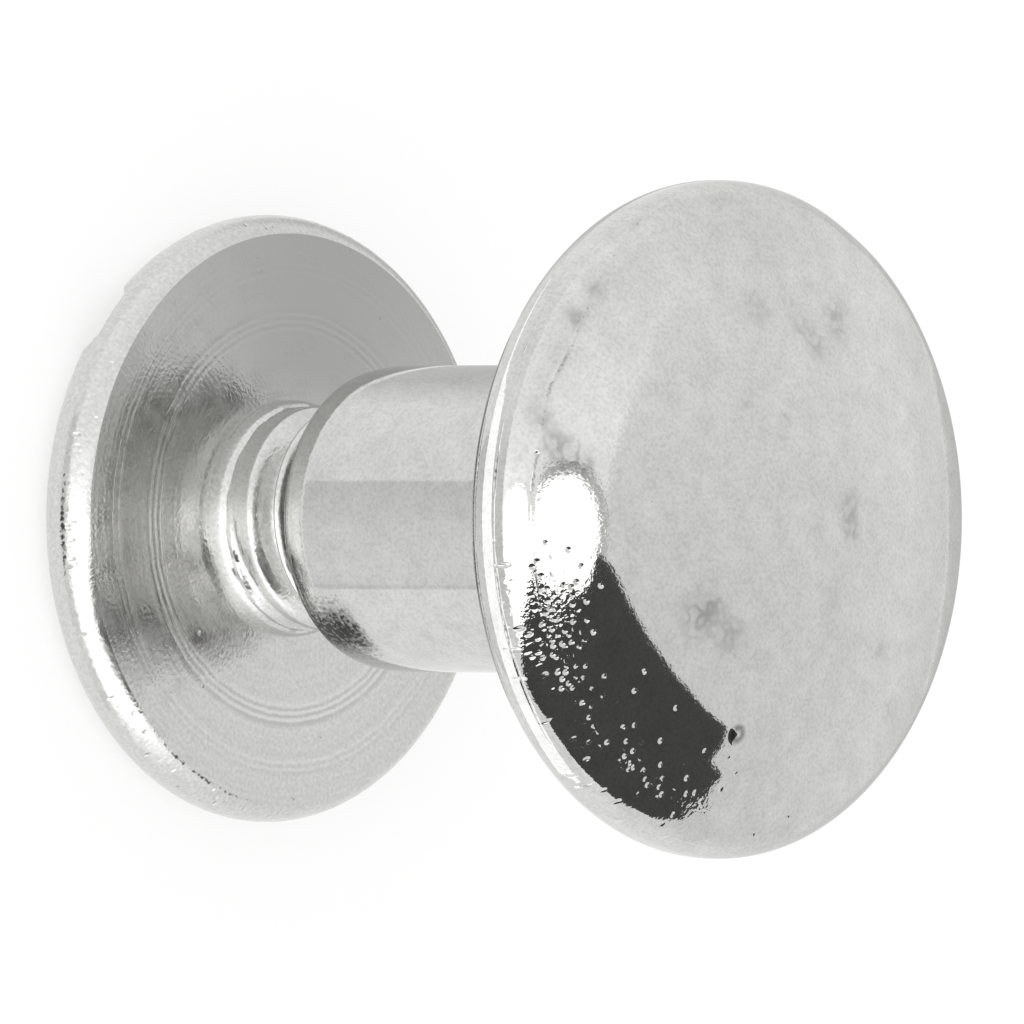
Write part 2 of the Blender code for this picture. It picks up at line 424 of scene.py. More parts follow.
def slot_grid():
    """Sections along X of (y, z): flat floor, rounded corners, straight walls and flared lips.

    The lip is a quarter ellipse that starts where the head's lower surface is at that x.
    """
    rim_r = FACE_RADIUS - FACE_RIM
    half = FACE_RADIUS + 0.3
    over_rim = np.linspace(rim_r, half, 30)
    x = np.unique(np.concatenate([np.linspace(-half, half, 25), over_rim, -over_rim]))
    into_rim = np.clip(np.abs(x) - rim_r, 0, FACE_RIM)
    surface = FACE_RIM - np.sqrt(FACE_RIM ** 2 - into_rim ** 2)
    lip = np.radians(np.linspace(-90, 0, 9))
    corner = np.radians(np.linspace(0, 90, 5))
    wall = SLOT_WIDTH / 2
    lip_y = wall + SLOT_LIP[0] * (1 - np.cos(lip))
    corner_y = wall - SLOT_CORNER * (1 - np.cos(corner))
    y = np.concatenate([lip_y[:1], lip_y, corner_y])
    lip_z = surface[:, None] + SLOT_LIP[1] * (1 + np.sin(lip))
    lip_z = np.minimum(lip_z, SLOT_DEPTH - SLOT_CORNER)
    corner_z = SLOT_DEPTH - SLOT_CORNER * (1 - np.sin(corner)) + 0 * x[:, None]
    z = np.concatenate([np.full((len(x), 1), -SLOT_MARGIN), lip_z, corner_z], 1)
    side = np.stack([np.broadcast_to(y, z.shape), z], 2)
    section = np.concatenate([side, side[:, ::-1] * [-1, 1]], 1)
    x = np.broadcast_to(x[:, None, None], (*section.shape[:2], 1))
    return np.concatenate([x, section], 2)


def cut(piece, tool):
    """Takes the tool's shape out of the piece and removes the tool."""
    boolean = piece.modifiers.new("Slot", "BOOLEAN")
    boolean.operation = "DIFFERENCE"
    boolean.solver = "EXACT"
    boolean.object = tool
    evaluated = piece.evaluated_get(bpy.context.evaluated_depsgraph_get())
    result = bpy.data.meshes.new_from_object(evaluated)
    piece.modifiers.clear()
    piece.data = result
    bpy.data.objects.remove(tool)
    print(piece.name, "now has", sum(len(face.vertices) - 2 for face in result.polygons), "triangles")


cut(screw, solid("slot_tool", [slot_grid()], [0]))
shade(screw, 35)
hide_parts("screw")
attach(screw, "screw")

# %% [markdown]
# ## Where the plate is worn, and where shade is painted
#
# Wear isn't even, so each piece gets a few maps of how much of it there is at each point:
# pits from the plating bath, scuffs from other screws in the bag, and the rings that the
# lathe tool left. Other maps paint shade into the colour: painted shade in the crack, the
# hairlines, a crease and two patches, and a painted darker side on the slotted face. A map is
# a named attribute of the mesh, worked out from the points themselves. The materials read it
# and turn it into fine relief, stains and painted shade.

# %% Tools for the maps
def polar(points):
    """Radius, azimuth in degrees and height of points (n, xyz)."""
    x, y, z = points.T
    return np.hypot(x, y), np.degrees(np.arctan2(y, x)), z


def soft_spots(points, spots):
    """Sum of strength bell(distance, 0, size) over (radius, azimuth, size, strength), from above."""
    radius, towards, size, strength = spots.T
    x = points[:, :1] - radius * np.cos(np.radians(towards))
    y = points[:, 1:2] - radius * np.sin(np.radians(towards))
    return (strength * bell(np.hypot(x, y), 0, size)).sum(1)


def paint(piece, name, values):
    """Stores one value from 0 to 1 for each point of the mesh, as a named attribute."""
    values = np.clip(values, 0, 1)
    attribute = piece.data.attributes.new(name, "FLOAT", "POINT")
    attribute.data.foreach_set("value", values.astype(np.float32))
    print(piece.name, name, "averages", round(float(values.mean()), 3))


def points_of(piece):
    """Points of a mesh in millimetres, as an array (n, xyz)."""
    points = np.empty(len(piece.data.vertices) * 3)
    piece.data.vertices.foreach_get("co", points)
    return points.reshape(-1, 3) / MM


# %% [markdown]
# On the post the pits are thick by the rim, run along it in a chain and thin out over the
# dome. Each scuff is a soft spot given by its radius, azimuth, size and strength. Painted
# shade darkens the crack, the hairlines and one patch at the mouth of the barrel. The chain and
# the thickest pits are placed by azimuth and radius, the sparse pits by azimuth and inner
# radius, and the patch by azimuth and height.

# %% Maps of the post
SCUFFS = np.array([
    (3.23, -39, 0.26, 0.5), (2.96, -56, 0.20, 0.5), (3.34, -72, 0.30, 0.8), (2.80, -63, 0.24, 0.7),
    (1.24, -129, 0.24, 0.8), (1.28, -146, 0.20, 0.8), (1.47, 166, 0.24, 0.5), (2.48, 80, 0.34, 0.8),
    (2.14, 77, 0.30, 0.7), (2.20, 96, 0.30, 0.7), (1.54, -40, 0.12, 0.7), (2.07, -18, 0.12, 0.6),
    (4.05, 31, 0.20, 0.8), (4.35, 30, 0.26, 1.0), (4.62, 28, 0.22, 1.0), (4.85, 24, 0.16, 0.8),
    (4.90, 4, 0.14, 0.9), (4.86, -3, 0.12, 1.0), (3.03, -179, 0.16, 0.5), (4.10, 177, 0.18, 0.5),
])
CHAIN = np.array([
    (70, 4.78), (78, 4.72), (85, 4.80), (91, 4.68), (98, 4.60), (104, 4.62), (116, 4.55),
])
THICK_PITS = (63, 4.80)
SPARSE_PITS = (88, 3.4)
MOUTH_PATCH = (90, 4.25)

points = points_of(post)
radius, towards, height = polar(points)
on_top = height > RIM_Z - 0.05
thick = bell(apart(towards, THICK_PITS[0]), 0, 11) * bell(radius, THICK_PITS[1], 0.42)
chain = bell(radius, np.interp(towards, *CHAIN.T), 0.12) * bell(apart(towards, 92), 0, 27) ** 0.5
sparse = bell(apart(towards, SPARSE_PITS[0]), 0, 30) * np.clip(radius - SPARSE_PITS[1], 0, 1)
paint(post, "pits", on_top * (0.8 * thick + 0.5 * chain + 0.1 * sparse))
paint(post, "scuffs", on_top * soft_spots(points, SCUFFS))
# This map paints shade into the colour: it darkens the crack, the hairlines and a patch at the mouth of
# the barrel.
lines = sum(hairline(radius, height, towards, degrees, 0.03) for degrees in HAIRLINES)
under = np.clip((MOUTH_PATCH[1] - height) / 0.3, 0, 1) * (radius > BARREL_RADIUS - 2 * MOUTH_DROP)
mouth = bell(apart(towards, MOUTH_PATCH[0]), 0, 15) * under
paint(post, "painted_shade", 0.55 * cracked(radius, height, towards) + 0.7 * lines + mouth)

# %% [markdown]
# The slotted head is pitted along its rim. Painted shade darkens one patch of the rim and one
# crease where the rim meets the inner face. The tool's rings are plainest at two radii of that
# face, and one side of the face is painted darker, as painted shade.

# %% Maps of the screw
RIM_PATCH = 44
CREASE = 102
TOOL_RINGS = (3.08, 3.9)
SHADED_SIDE = -60

radius, towards, height = polar(points_of(screw))
on_face = (np.abs(height - FACE_TOP) < 0.001) & (radius > THREAD_RADIUS)
on_rim = (radius > 4.4) & ~on_face
patch = bell(apart(towards, RIM_PATCH), 0, 13)
edge = bell(height, 0.8, 0.12)
paint(screw, "pits", 0.003 + on_rim * (0.9 * patch * bell(height, 0.7, 0.08) + 0.2 * edge))
# This map paints shade into the colour: it darkens a patch low on the rim and the crease where the rim
# meets the inner face.
crease = 0.8 * bell(apart(towards, CREASE), 0, 24) * bell(height, FACE_TOP - 0.015, 0.02)
paint(screw, "painted_shade", on_rim * (patch * bell(height, 0.635, 0.05) + crease))
marks = 0.12 + 0.88 * bell(radius, TOOL_RINGS[0], 0.22) + 0.3 * bell(radius, TOOL_RINGS[1], 0.2)
paint(screw, "rings", on_face * marks)
# Painted shade: the face is made darker towards one side.
side = np.cos(np.radians(towards - SHADED_SIDE)) * np.clip(radius / 2.4, 0, 1)
upper = (1 + side) / 2
paint(screw, "painted_side_shade", on_face * upper ** 2)

# %% [markdown]
# ## Nickel plate
#
# Nickel reflects a little under two thirds of the light that falls on it, with a faint warm
# tint that a grey photograph loses. The dome is bright plate, almost a mirror. What makes it
# believable is what is wrong with it: the grain of the steel under the plate, pits with
# sharp walls, hair-thin scuffs and one round blister.

# %% Steps that both materials share
def start_plate(name):
    """Plain metal with its object coordinates in millimetres: (material, tree, shader, place)."""
    material = bpy.data.materials.new(name)
    material.use_nodes = True
    tree = material.node_tree
    shader = tree.nodes["Principled BSDF"]
    shader.inputs["Metallic"].default_value = 1.0
    coordinates = add(tree, "TexCoord").outputs["Object"]
    place = add(tree, "VectorMath", (0, coordinates), ("Scale", 1 / MM), operation="SCALE")
    return material, tree, shader, place


def dimples(tree, place, size, share, reach=0.45):
    """Height that is 1 on the sheet and falls to 0 in round pits.

    Seen from above, the piece is cut into cells of about this size. A cell has a pit where its
    random red is below the share, and the pit's random green gives its depth.
    """
    cells = add(tree, "TexVoronoi", ("Vector", place), ("Scale", 1 / size), voronoi_dimensions="2D")
    chance = add(tree, "SeparateColor", ("Color", cells.outputs["Color"]))
    chosen = add(tree, "Math", (0, chance.outputs["Red"]), (1, share), operation="LESS_THAN")
    bowl = add(tree, "MapRange", ("Value", cells.outputs["Distance"]), ("From Max", reach),
               ("To Min", 1.0), ("To Max", 0.0), interpolation_type="SMOOTHSTEP")
    deep = add(tree, "Math", (0, bowl), (1, chance.outputs["Green"]), operation="MULTIPLY")
    pits = add(tree, "Math", (0, deep), (1, chosen), operation="MULTIPLY")
    return add(tree, "Math", (0, 1.0), (1, pits), operation="SUBTRACT")


# Turns colour darker, both for real scuffs and for painted shade.
def stains_and_painted_shade(tree, colour, amount, dark):
    """Colour turned towards a dark hex colour by an amount from 0 to 1."""
    mixed = add(tree, "Mix", (0, amount), (6, colour), (7, linear(dark)), data_type="RGBA")
    return mixed.outputs[2]


# %% [markdown]
# The blister is a round swelling, given by its radius and azimuth on the head, its size and
# its rise. Its foot is painted darker, as painted shade, so it shows as a small ring.

# %% Bright nickel of the post
BLISTER = (3.38, 117.9, 0.2, 0.06)


def bright_nickel():
    """Polished plate: gives the eye a dark, sharp mirror broken by pinpoints of light."""
    material, tree, shader, place = start_plate("bright_nickel_plate")
    shader.inputs["Roughness"].default_value = 0.05
    cloud = add(tree, "TexNoise", ("Vector", place), ("Scale", 1 / 0.4), ("Detail", 1.0))
    grain = add(tree, "TexNoise", ("Vector", place), ("Scale", 1 / 0.06), ("Detail", 1.0))
    spread = add(tree, "Math", (0, grain), (1, 1.7), (2, -0.8), operation="MULTIPLY_ADD")
    mottle = add(tree, "Math", (0, cloud), (1, 0.9), (2, spread), operation="MULTIPLY_ADD")
    tone = add(tree, "Mix", (0, mottle), (6, linear("#c6c6c4")), (7, linear("#dededc")),
               data_type="RGBA")

    curl = add(tree, "TexNoise", ("Vector", place), ("Scale", 1 / 0.3), ("Detail", 1.0))
    off_line = add(tree, "Math", (0, curl), (1, 0.5), operation="SUBTRACT")
    off_line = add(tree, "Math", (0, off_line), operation="ABSOLUTE")
    hairs = add(tree, "MapRange", ("Value", off_line), ("From Max", 0.13), ("To Min", 1.0),
                ("To Max", 0.35), interpolation_type="SMOOTHSTEP")
    scuffs = add(tree, "Attribute", attribute_name="scuffs").outputs["Fac"]
    scuffed = add(tree, "Math", (0, hairs), (1, scuffs), operation="MULTIPLY")
    colour = stains_and_painted_shade(tree, tone.outputs[2], scuffed, "#a6a6a4")

    # Painted shade: the crack, the hairlines and the mouth patch are turned towards dark grey.
    painted_shade = add(tree, "Attribute", attribute_name="painted_shade").outputs["Fac"]
    broken = add(tree, "Math", (0, grain), (1, 1.2), (2, -0.6), operation="MULTIPLY_ADD")
    shade_amount = add(tree, "Math", (0, painted_shade), (1, broken), operation="ADD")
    shade_amount = add(tree, "MapRange", ("Value", shade_amount), ("From Min", 0.2), ("From Max", 0.95))
    colour = stains_and_painted_shade(tree, colour, shade_amount, "#2e2e2c")

    radius, towards, size, rise = BLISTER
    spot = around((0, 0), radius, [towards])[0]
    level = DOME_Z + math.sqrt(DOME_RADIUS ** 2 - radius ** 2)
    away = add(tree, "VectorMath", (0, place), (1, (*spot, level)), operation="DISTANCE")
    hump = add(tree, "MapRange", ("Value", away.outputs["Value"]), ("From Max", size),
               ("To Min", 1.0), ("To Max", 0.0), interpolation_type="SMOOTHSTEP")
    # Painted shade: the blister's foot is turned towards dark grey, so it shows as a ring.
    fallen = add(tree, "Math", (0, 1.0), (1, hump), operation="SUBTRACT")
    foot = add(tree, "Math", (0, hump), (1, fallen), operation="MULTIPLY")
    foot = add(tree, "Math", (0, foot), (1, 2.6), operation="MULTIPLY")
    colour = stains_and_painted_shade(tree, colour, foot, "#3a3a38")
    tree.links.new(colour, shader.inputs["Base Color"])

    share = add(tree, "Attribute", attribute_name="pits").outputs["Fac"]
    waves = add(tree, "Bump", ("Height", grain), ("Distance", 0.0006 * MM), ("Strength", 1.0))
    swelling = add(tree, "Bump", ("Height", hump), ("Distance", rise * MM), ("Strength", 1.0),
                   ("Normal", waves))
    rough = add(tree, "Math", (0, grain), (1, share), operation="MULTIPLY")
    rough = add(tree, "Math", (0, rough), (1, 0.25), (2, dimples(tree, place, 0.11, share, 0.5)),
                operation="MULTIPLY_ADD")
    pitted = add(tree, "Bump", ("Height", rough), ("Distance", 0.04 * MM), ("Strength", 1.0),
                 ("Normal", swelling))
    tree.links.new(pitted.outputs["Normal"], shader.inputs["Normal"])
    return material


post.data.materials.append(bright_nickel())

# %% [markdown]
# The slotted screw was plated over the surface that the lathe tool left, so its plate is
# satin rather than bright. The tool's rings are noise along the radius alone, nudged by a
# little noise in the plane, so that they waver and break off as real tool marks do.

# %% Satin nickel of the screw
def satin_nickel():
    """Plate over tool marks: gives the eye soft, streaky reflections and fine bright arcs."""
    material, tree, shader, place = start_plate("satin_nickel_plate")
    grain = add(tree, "TexNoise", ("Vector", place), ("Scale", 1 / 0.065), ("Detail", 1.0))
    cloud = add(tree, "TexNoise", ("Vector", place), ("Scale", 1 / 0.4), ("Detail", 1.0))

    flat = add(tree, "VectorMath", (0, place), (1, (1, 1, 0)), operation="MULTIPLY")
    out = add(tree, "VectorMath", (0, flat), operation="LENGTH").outputs["Value"]
    wavered = add(tree, "Math", (0, cloud), (1, 0.06), (2, out), operation="MULTIPLY_ADD")
    along = add(tree, "Math", (0, wavered), (1, 9.0), operation="MULTIPLY")
    along = add(tree, "CombineXYZ", ("X", along))
    turning = add(tree, "TexNoise", ("Vector", along), ("Scale", 1.0), ("Detail", 3.0))
    rings = add(tree, "Attribute", attribute_name="rings").outputs["Fac"]
    faded = add(tree, "Math", (0, cloud), (1, rings), operation="MULTIPLY")
    centred = add(tree, "Math", (0, turning), (1, 0.5), operation="SUBTRACT")
    grooves = add(tree, "Math", (0, centred), (1, faded), operation="MULTIPLY")

    spread = add(tree, "Math", (0, grain), (1, 1.3), (2, -0.1), operation="MULTIPLY_ADD")
    mottle = add(tree, "Math", (0, grooves), (1, 11.0), (2, spread), operation="MULTIPLY_ADD")
    tone = add(tree, "Mix", (0, mottle), (6, linear("#c4c4c2")), (7, linear("#e0e0de")),
               data_type="RGBA")
    # Painted shade: one side of the face is turned a little darker.
    painted_side_shade = add(tree, "Attribute", attribute_name="painted_side_shade").outputs["Fac"]
    colour = stains_and_painted_shade(tree, tone.outputs[2], painted_side_shade, "#acacaa")
    # Painted shade: the rim patch and the crease are turned towards dark grey.
    painted_shade = add(tree, "Attribute", attribute_name="painted_shade").outputs["Fac"]
    broken = add(tree, "Math", (0, grain), (1, 2.0), (2, -1.4), operation="MULTIPLY_ADD")
    shade_amount = add(tree, "Math", (0, painted_shade), (1, broken), operation="ADD")
    shade_amount = add(tree, "MapRange", ("Value", shade_amount), ("From Min", 0.15), ("From Max", 0.6))
    colour = stains_and_painted_shade(tree, colour, shade_amount, "#4a4a48")
    tree.links.new(colour, shader.inputs["Base Color"])
    patchy = add(tree, "MapRange", ("Value", cloud), ("From Min", 0.3), ("From Max", 0.7),
                 ("To Min", 0.14), ("To Max", 0.30))
    tree.links.new(patchy.outputs["Result"], shader.inputs["Roughness"])

    share = add(tree, "Attribute", attribute_name="pits").outputs["Fac"]
    waves = add(tree, "Bump", ("Height", grain), ("Distance", 0.004 * MM), ("Strength", 1.0))
    turned_marks = add(tree, "Bump", ("Height", grooves), ("Distance", 0.08 * MM),
                       ("Strength", 1.0), ("Normal", waves))
    pitted = add(tree, "Bump", ("Height", dimples(tree, place, 0.10, share)),
                 ("Distance", 0.02 * MM), ("Strength", 1.0), ("Normal", turned_marks))
    tree.links.new(pitted.outputs["Normal"], shader.inputs["Normal"])
    return material


screw.data.materials.clear()
screw.data.materials.append(satin_nickel())

# %% [markdown]
# ## The camera
#
# The photograph looks at the dome from 44 degrees above the plane of the heads, through a
# long lens, with the fastener's axis lying across the picture. The part stands upright here,
# so the camera is rolled by a quarter turn. A sight line is the direction from the camera
# through a pixel, and the one through the middle of the picture aims the camera.

# %% Camera
VIEW_AZIMUTH = 42.3
VIEW_ELEVATION = 43.75
VIEW_ROLL = 0.13
CAMERA_DISTANCE = 312.6
PIXELS_PER_MM = 63.98
PICTURE = 1024
SENSOR = 36.0
FACE_CENTRE_PIXEL = (290.2, 518.5)


def view_axes():
    """Unit vectors of the picture in the part's frame: to the right, up, and towards the camera."""
    azimuth, elevation, roll = map(math.radians, (VIEW_AZIMUTH, VIEW_ELEVATION, VIEW_ROLL))
    flat = math.cos(elevation)
    toward = np.array([flat * math.cos(azimuth), flat * math.sin(azimuth), math.sin(elevation)])
    right = np.array([0, 0, 1]) - toward * toward[2]
    right /= np.linalg.norm(right)
    up = np.cross(toward, right)
    return (
        right * math.cos(roll) + up * math.sin(roll),
        up * math.cos(roll) - right * math.sin(roll),
        toward,
    )


RIGHT, UP, TOWARD = view_axes()
EYE = np.array([0, 0, FACE_TOP]) + TOWARD * CAMERA_DISTANCE


def sight_lines(pixels):
    """Unit vectors from the eye through pixels of the picture, counted to the right and down."""
    right, down = (np.array(pixels) - FACE_CENTRE_PIXEL).T[..., None] / PIXELS_PER_MM
    sight = right * RIGHT - down * UP - CAMERA_DISTANCE * TOWARD
    return sight / np.linalg.norm(sight, axis=1, keepdims=True)


def add_camera():
    """Camera at the eye, aimed through the middle of the picture."""
    back = -sight_lines([(PICTURE / 2, PICTURE / 2)])[0]
    across = np.cross(UP, back)
    across /= np.linalg.norm(across)
    data = bpy.data.cameras.new("camera")
    data.sensor_width = SENSOR
    data.lens = PIXELS_PER_MM * CAMERA_DISTANCE * SENSOR / PICTURE
    data.clip_start = 0.01
    data.clip_end = 10.0
    camera = bpy.data.objects.new("camera", data)
    bpy.context.scene.collection.objects.link(camera)
    columns = [across, np.cross(back, across), back, EYE * MM]
    matrix = np.eye(4)
    matrix[:3] = np.stack(columns, 1)
    camera.matrix_world = Matrix(matrix.tolist())
    bpy.context.scene.camera = camera


add_camera()

# %% [markdown]
# ## The studio
#
# A polished thing is lit by surrounding it. The world is a pale tent of even light, a little
# lighter in front. A large soft box behind the camera gives the white patch by the rim, and
# a black flag close to the dome gives the dark one. What the barrel shows is the floor, in
# bands of grey, so a ring of sheets lies just over the floor; its darker bands are painted
# shade that stands for the heads' shadow on the floor. The box, the flag and the sheets are
# seen by reflections only.

# %% Floor and sheets
FLOOR_SIZE = 2000.0
FLOOR_GAP = 0.02
CARD_DISTANCE = 700.0


def glowing(name, strength):
    """Material that glows plainly with a number, or with a named attribute of its mesh.

    Only reflections see it, so it isn't sampled as a lamp.
    """
    material = bpy.data.materials.new(name)
    material.use_nodes = True
    tree = material.node_tree
    tree.nodes.clear()
    if isinstance(strength, str):
        strength = add(tree, "Attribute", attribute_name=strength).outputs["Fac"]
    glow = add(tree, "Emission", ("Strength", strength))
    add(tree, "OutputMaterial", ("Surface", glow))
    material.cycles.emission_sampling = "NONE"
    return material


def floor_material():
    """Floor that keeps the object's shadow and is white to the camera and in the plate."""
    material = bpy.data.materials.new("white_floor")
    material.use_nodes = True
    tree = material.node_tree
    tree.nodes.clear()
    seen = add(tree, "LightPath").outputs
    shown = add(tree, "Math", (0, seen["Is Camera Ray"]), (1, seen["Is Glossy Ray"]),
                operation="MAXIMUM")
    shown = add(tree, "Math", (0, shown), (1, seen["Is Transmission Ray"]), operation="MAXIMUM")
    plain = add(tree, "BsdfDiffuse", ("Color", linear("#e6e6e6")))
    pale = add(tree, "BsdfDiffuse", ("Color", linear("#aaaaaa")))
    glow = add(tree, "Emission", ("Strength", 0.63))
    lifted = add(tree, "AddShader", (0, pale), (1, glow))
    mixed = add(tree, "MixShader", (0, shown), (1, plain), (2, lifted))
    add(tree, "OutputMaterial", ("Surface", mixed))
    material.cycles.emission_sampling = "NONE"
    return material


def add_floor():
    """Flat square floor, a hair below the slotted face that stands on it."""
    half = FLOOR_SIZE / 2
    corners = MM * np.array([(-half, -half), (half, -half), (half, half), (-half, half)])
    corners = np.insert(corners, 2, -FLOOR_GAP * MM, 1).tolist()
    mesh = bpy.data.meshes.new("floor")
    mesh.from_pydata(corners, [], [(0, 1, 2, 3)])
    mesh.materials.append(floor_material())
    floor = bpy.data.objects.new("floor", mesh)
    bpy.context.scene.collection.objects.link(floor)


def add_sheet(name, points, faces, strength):
    """Glowing sheet that only reflections see: no ray from the camera, and no light on the floor."""
    mesh = bpy.data.meshes.new(name)
    mesh.from_pydata((points.reshape(-1, 3) * MM).tolist(), [], faces)
    sheet = bpy.data.objects.new(name, mesh)
    bpy.context.scene.collection.objects.link(sheet)
    if isinstance(strength, np.ndarray):
        paint(sheet, "glow", strength.ravel())
        strength = "glow"
    mesh.materials.append(glowing(name, strength))
    sheet.visible_camera = False
    sheet.visible_diffuse = False
    sheet.visible_shadow = False


def add_card(name, corners, strength):
    """Sheet fanned out from its middle to straight edges between corners, in millimetres."""
    corners = np.array(corners, float)
    share = np.linspace(0, 1, 7)[:-1, None, None]
    edge = corners[None] * (1 - share) + np.roll(corners, -1, 0)[None] * share
    edge = edge.transpose(1, 0, 2).reshape(-1, 3)
    rings = np.linspace(0.02, 1, 10)[:, None, None]
    grid = corners.mean(0) * (1 - rings) + edge[None] * rings
    add_sheet(name, grid, rings_of(grid).tolist() + [list(range(grid.shape[1]))], strength)


def far(corners):
    """Points at CARD_DISTANCE from the head in directions (angle off the line of sight, clock)."""
    off_axis, clock = np.radians(np.array(corners, float).T)[..., None]
    across = np.cos(clock) * RIGHT + np.sin(clock) * UP
    return CARD_DISTANCE * (np.cos(off_axis) * TOWARD + np.sin(off_axis) * across) + [0, 0, RIM_Z]


def ring_sector(azimuths, radii, height):
    """Grid of a flat ring sector, and its faces. The radii may differ from azimuth to azimuth."""
    angle = np.radians(np.array(azimuths, float))[None, :]
    radii = np.array(radii, float).reshape(len(radii), -1)
    grid = np.stack([radii * np.cos(angle), radii * np.sin(angle), height + 0 * radii * angle], 2)
    index = np.arange(grid[..., 0].size).reshape(grid.shape[:2])
    corners = [index[:-1, :-1], index[:-1, 1:], index[1:, 1:], index[1:, :-1]]
    return grid, np.stack(corners, 2).reshape(-1, 4).tolist()


# %% [markdown]
# The barrel is a cylinder, so a ray that leaves it turns by twice the angle of its normal.
# The ring round it is laid along those rays: its columns follow them, and each column has
# one brightness. That keeps the edges of the bands parallel to the barrel. The tones are
# pairs: the ray's turn from the line of sight, in degrees, and the brightness there.

# %% Ring that the barrel reflects
RING_INNER = 5.3
RING_OUTER = 12.4
RING_HEIGHT = 0.3
# Tones under 1 are painted shade: the heads' shadow on the floor, as the barrel reflects it.
BARREL_TONES = np.array([
    (-180, 0.60), (-151, 0.62), (-126, 0.67), (-108, 0.84), (-94, 0.99), (-82, 0.98), (-29, 0.96),
    (-28, 0.76), (-21, 0.75), (-3, 0.81), (6, 0.86), (42, 0.90), (50, 0.88), (52, 0.79),
    (54, 0.79), (55, 1.00), (98, 0.97), (180, 0.92),
])


def barrel_ring():
    """Points b (cos n, sin n) + s (cos 2n, sin 2n) and their brightness.

    Here b is the barrel's radius, n the angle of its normal from the line of sight, and s
    is the distance at which the ray comes to each radius of the ring.
    """
    normal = np.radians(np.linspace(-88, 88, 441))[None, :]
    flat = BARREL_RADIUS * np.sin(normal)
    reach = np.linspace(RING_INNER, RING_OUTER, 5)[:, None]
    s = np.sqrt(reach ** 2 - flat ** 2) - BARREL_RADIUS * np.cos(normal)
    view = math.radians(VIEW_AZIMUTH)
    x = BARREL_RADIUS * np.cos(normal + view) + s * np.cos(2 * normal + view)
    y = BARREL_RADIUS * np.sin(normal + view) + s * np.sin(2 * normal + view)
    glow = np.interp(np.degrees(2 * normal), *BARREL_TONES.T) + 0 * s
    return np.stack([x, y, np.full_like(x, RING_HEIGHT)], 2), glow


grid, glow = barrel_ring()
add_sheet("barrel_ring", grid, rings_of(grid).tolist(), glow)

# %% [markdown]
# The tent's light changes slowly from side to side. In front of the object it is lighter,
# up to an upright edge that the dome shows as a curved line.

# %% Floor and world
TENT = 1.04
TENT_SLOPE = (-0.144, -0.063)
FRONT_LIFT = 0.23
HIGH_DROP = -0.13
BACK_DROP = -0.20


def add_world():
    """Tent: TENT + slope . direction, lifted in front and lowered behind by ramps of the direction."""
    world = bpy.data.worlds.new("tent")
    bpy.context.scene.world = world
    world.use_nodes = True
    tree = world.node_tree
    towards = add(tree, "TexCoord").outputs["Generated"]

    def ramp(axis, start, end, low, high):
        """Value that runs from low to high while direction . axis runs from start to end."""
        along = add(tree, "VectorMath", (0, towards), (1, axis.tolist()), operation="DOT_PRODUCT")
        return add(tree, "MapRange", ("Value", along.outputs["Value"]), ("From Min", start),
                   ("From Max", end), ("To Min", low), ("To Max", high))

    slope = TENT_SLOPE[0] * RIGHT + TENT_SLOPE[1] * TOWARD
    base = ramp(slope, -1, 1, TENT - 1, TENT + 1)
    upward = ramp(UP, -0.6, 0.35, -0.09, 0.05)
    front = ramp(RIGHT - 0.12 * UP, 0.828, 0.840, FRONT_LIFT, 0.0)
    not_high = ramp(UP, 0.22, 0.5, 1.0, 0.0)
    ahead = ramp(TOWARD, 0.0, 0.15, 0.0, 1.0)
    lift = add(tree, "Math", (0, front), (1, not_high), operation="MULTIPLY")
    lift = add(tree, "Math", (0, lift), (1, ahead), operation="MULTIPLY")
    overhead = ramp(UP, 0.25, 0.6, 0.0, 1.0)
    behind = ramp(TOWARD, 0.1, -0.2, 0.0, HIGH_DROP)
    drop = add(tree, "Math", (0, overhead), (1, behind), operation="MULTIPLY")
    total = ramp(TOWARD, -0.8, -0.55, BACK_DROP, 0.0)
    for share in (base, upward, lift, drop):
        total = add(tree, "Math", (0, total), (1, share), operation="ADD")
    background = tree.nodes["Background"]
    tree.links.new(total.outputs[0], background.inputs["Strength"])
    background.inputs["Color"].default_value = (1, 1, 1, 1)


add_floor()
add_world()

# %% [markdown]
# The soft box stands far behind the camera. Its outline is given as directions: the angle off
# the line of sight, and the clock angle about it. Where it ends near the line of sight, a dim
# frame borders it.

# %% Soft box and its frame
SOFT_BOX = [
    (56, -12), (55.7, -4.2), (55.9, -1), (55.2, 2.6), (54.3, 5.2), (52.4, 7.5), (50.2, 8.2),
    (48.2, 7.5), (46.3, 5.4), (45.5, 2.6), (42, 0), (34, 0), (29, 0), (26, 10), (21.4, 15.6),
    (14, 33), (8.2, 82.5), (13, 132), (20.4, 155), (30, 163), (37.7, 168.3), (42.5, 173.9),
    (43, -171), (47.7, -163.6), (54.4, -158), (67.6, -148.5), (72, -140), (76, -134.7),
    (74, -122), (72, -105), (72, -85), (70, -60), (67, -42), (61, -22),
]
BOX_FRAME = [
    (57, -13), (57, -4), (57.1, -1), (56.6, 3.6), (55.4, 6.9), (52.8, 9.5), (50.1, 10.2),
    (47.4, 9.3), (45, 6.2), (44, 3), (42, -4), (44, -13),
]
FRAME_BEHIND = 1.02

add_card("soft_box", far(SOFT_BOX), 1.8)
add_card("box_frame", FRAME_BEHIND * far(BOX_FRAME), 0.6)

# %% [markdown]
# The black flag is found the other way round. Its reflection's outline is drawn in the
# picture, a sight line is sent through each corner to the head, and the corner of the flag
# is put on the ray that the plate sends back.

